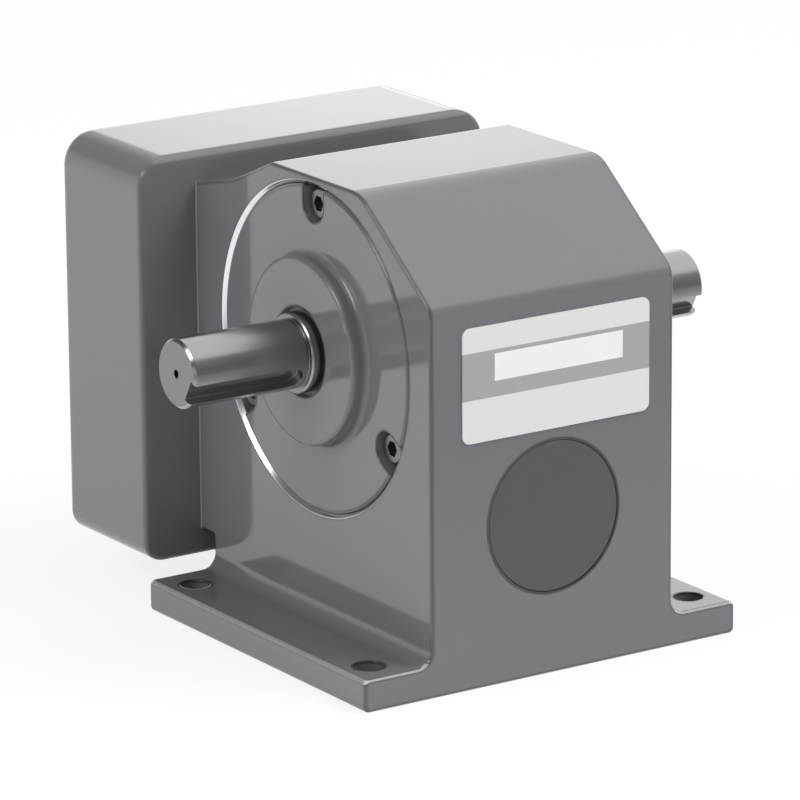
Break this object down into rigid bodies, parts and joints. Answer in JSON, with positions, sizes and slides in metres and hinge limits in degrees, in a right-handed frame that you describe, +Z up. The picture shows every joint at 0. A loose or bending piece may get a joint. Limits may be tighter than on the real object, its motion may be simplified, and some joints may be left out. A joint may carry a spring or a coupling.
{
  "type": "right-angle gearhead",
  "caption": "Foot-mounted right-angle worm gearhead with a double-ended keyed output shaft and a hollow, face-mounted motor input.",
  "frame": {"origin": "on the base plane, directly below the output shaft axis and at mid-width of the housing", "axes": "+X along the worm towards the nameplate face, +Y along the output shaft towards its rear end, +Z up"},
  "size_m": [0.1571, 0.1669, 0.1313],
  "materials": {
    "grey_enamel": "glossy grey enamel on cast iron",
    "plug_black": "matt dark grey plug",
    "shaft_steel": "ground steel",
    "screw_steel": "zinc-plated steel",
    "gasket_paper": "oiled gasket paper",
    "seal_rubber": "moulded black rubber",
    "bearing_steel": "ground bearing steel",
    "wheel_bronze": "hobbed bronze",
    "gear_steel": "hardened and ground steel",
    "spring_steel": "phosphated spring steel",
    "nameplate_white": "white film with a grey band"
  },
  "bodies": {
    "housing": {"housing": "grey_enamel", "front_cover": "grey_enamel", "rear_cover": "grey_enamel", "front_cover_screws": "screw_steel", "rear_cover_screws": "screw_steel", "front_cover_gasket": "gasket_paper", "rear_cover_gasket": "gasket_paper", "front_oil_seal": "seal_rubber", "rear_oil_seal": "seal_rubber", "front_bearing_outer_race": "bearing_steel", "rear_bearing_outer_race": "bearing_steel", "plug_end_bearing_outer_race": "bearing_steel", "drive_end_bearing_outer_race": "bearing_steel", "worm_bearing_retaining_ring": "spring_steel", "bore_plug": "plug_black", "worm_shaft_seal": "seal_rubber", "gear_case": "grey_enamel", "case_screws": "screw_steel", "motor_plate": "grey_enamel", "plate_screws": "screw_steel", "pinion_bearing_outer_race": "bearing_steel", "pinion_bearing_retaining_ring": "spring_steel", "nameplate": "nameplate_white"},
    "output": {"output_shaft": "shaft_steel", "worm_wheel": "wheel_bronze", "wheel_key": "shaft_steel", "front_wheel_spacer": "shaft_steel", "rear_wheel_spacer": "shaft_steel", "front_bearing_inner_race": "bearing_steel", "rear_bearing_inner_race": "bearing_steel"},
    "worm": {"worm_shaft": "gear_steel", "plug_end_bearing_inner_race": "bearing_steel", "drive_end_bearing_inner_race": "bearing_steel", "primary_gear": "gear_steel", "primary_gear_key": "gear_steel", "primary_gear_retaining_ring": "spring_steel"},
    "input": {"input_pinion": "gear_steel", "pinion_bearing_inner_race": "bearing_steel", "pinion_retaining_ring": "spring_steel"}
  },
  "joints": [
    {"name": "output_spin", "type": "hinge", "parent": "housing", "child": "output", "pos_m": [0, 0, 0.08369], "axis": [0, 1, 0], "continuous": true},
    {"name": "worm_spin", "type": "hinge", "parent": "housing", "child": "worm", "pos_m": [0, 0, 0.044], "axis": [1, 0, 0], "continuous": true},
    {"name": "input_spin", "type": "hinge", "parent": "housing", "child": "input", "pos_m": [-0.097, 0, 0.07575], "axis": [1, 0, 0], "continuous": true}
  ],
  "couplings": [
    {"joint": "worm_spin", "follows": "output_spin", "ratio": 30},
    {"joint": "input_spin", "follows": "output_spin", "ratio": -60}
  ]
}
